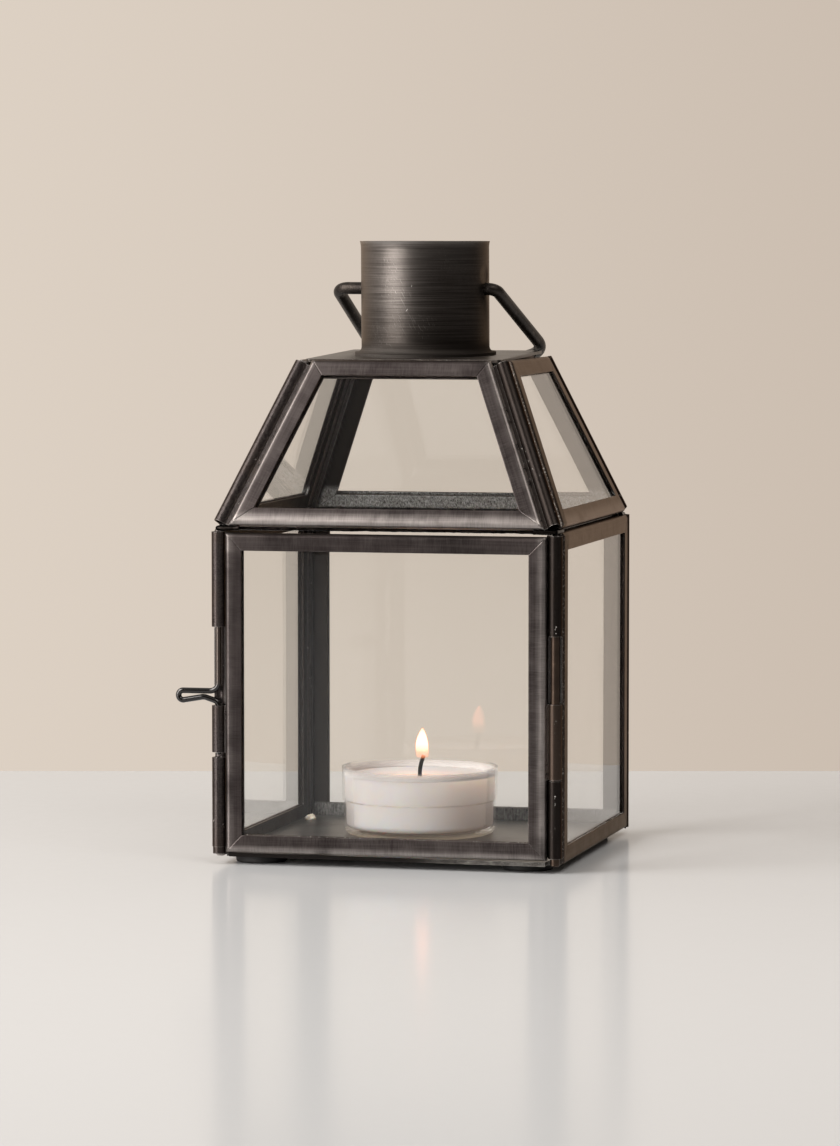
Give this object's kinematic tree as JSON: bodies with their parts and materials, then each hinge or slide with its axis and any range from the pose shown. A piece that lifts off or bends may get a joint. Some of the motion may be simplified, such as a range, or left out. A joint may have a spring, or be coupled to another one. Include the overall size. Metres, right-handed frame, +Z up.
{
  "type": "candle lantern",
  "caption": "Square glass candle lantern with a hinged front door held by a lifting wire pin, a sloping glazed roof, a round chimney, a folding bail and a tealight.",
  "frame": {"origin": "on the resting plane under the feet, at the middle of the square body", "axes": "+Z up along the chimney, the door faces -Y, the hinge is at +X and the latch at -X"},
  "size_m": [0.0945, 0.0856, 0.1487],
  "materials": {
    "came_metal": "brushed dark antique zinc with lighter worn edges",
    "tube_metal": "rolled dark antique zinc tube",
    "plate_metal": "dull dark zinc sheet",
    "base_metal": "dull grey zinc sheet",
    "chimney_metal": "horizontally brushed dark metal",
    "bail_wire": "rough dark wire",
    "latch_wire": "glossy black wire",
    "pin_steel": "browned steel pin",
    "clear_glass": "clear, faintly grey",
    "black_pad": "matt black",
    "clear_cup": "clear moulded plastic",
    "white_wax": "white wax",
    "wick_cotton": "charred braided cotton",
    "tab_tin": "thin tinned sheet"
  },
  "bodies": {
    "lantern": {"back_bottom_rail": "came_metal", "back_glass": "clear_glass", "back_left_stile": "came_metal", "back_right_stile": "came_metal", "back_top_rail": "came_metal", "base_plate": "base_metal", "chimney": "chimney_metal", "foot_pads": "black_pad", "hinge_lower_sleeve": "tube_metal", "hinge_pin": "pin_steel", "hinge_upper_sleeve": "tube_metal", "latch_lower_sleeve": "tube_metal", "latch_upper_sleeve": "tube_metal", "left_bottom_rail": "came_metal", "left_front_stile": "came_metal", "left_glass": "clear_glass", "left_rear_stile": "came_metal", "left_top_rail": "came_metal", "rear_left_corner_tube": "tube_metal", "rear_right_corner_tube": "tube_metal", "right_bottom_rail": "came_metal", "right_front_stile": "came_metal", "right_glass": "clear_glass", "right_rear_stile": "came_metal", "right_top_rail": "came_metal", "roof_back_bottom_rail": "came_metal", "roof_back_glass": "clear_glass", "roof_back_left_stile": "came_metal", "roof_back_right_stile": "came_metal", "roof_back_top_rail": "came_metal", "roof_front_bottom_rail": "came_metal", "roof_front_glass": "clear_glass", "roof_front_left_stile": "came_metal", "roof_front_right_stile": "came_metal", "roof_front_top_rail": "came_metal", "roof_hip_tubes": "tube_metal", "roof_left_bottom_rail": "came_metal", "roof_left_glass": "clear_glass", "roof_left_left_stile": "came_metal", "roof_left_right_stile": "came_metal", "roof_left_top_rail": "came_metal", "roof_right_bottom_rail": "came_metal", "roof_right_glass": "clear_glass", "roof_right_left_stile": "came_metal", "roof_right_right_stile": "came_metal", "roof_right_top_rail": "came_metal", "top_plate": "plate_metal"},
    "door": {"door_bottom_rail": "came_metal", "door_glass": "clear_glass", "door_hinge_knuckle": "tube_metal", "door_hinge_stile": "came_metal", "door_latch_knuckle": "tube_metal", "door_latch_stile": "came_metal", "door_top_rail": "came_metal"},
    "latch": {"latch_wire": "latch_wire"},
    "bail": {"bail": "bail_wire"},
    "tealight": {"tealight_cup": "clear_cup", "tealight_wax": "white_wax", "tealight_wick": "wick_cotton", "tealight_wick_tab": "tab_tin"}
  },
  "joints": [
    {"name": "door_swing", "type": "hinge", "parent": "lantern", "child": "door", "pos_m": [0.04102, -0.04102, 0.03], "axis": [0, 0, 1], "range_deg": [0, 180]},
    {"name": "latch_lift", "type": "slide", "parent": "lantern", "child": "latch", "axis": [0, 0, 1], "range_m": [0, 0.0125]},
    {"name": "bail_swing", "type": "hinge", "parent": "lantern", "child": "bail", "pos_m": [0, -0.00041, 0.13711], "axis": [0.9925, -0.1218, -0.003], "range_deg": [0, 235]},
    {"name": "tealight_lift", "type": "slide", "parent": "lantern", "child": "tealight", "axis": [0, 0, 1], "range_m": [0, 0.045]}
  ]
}
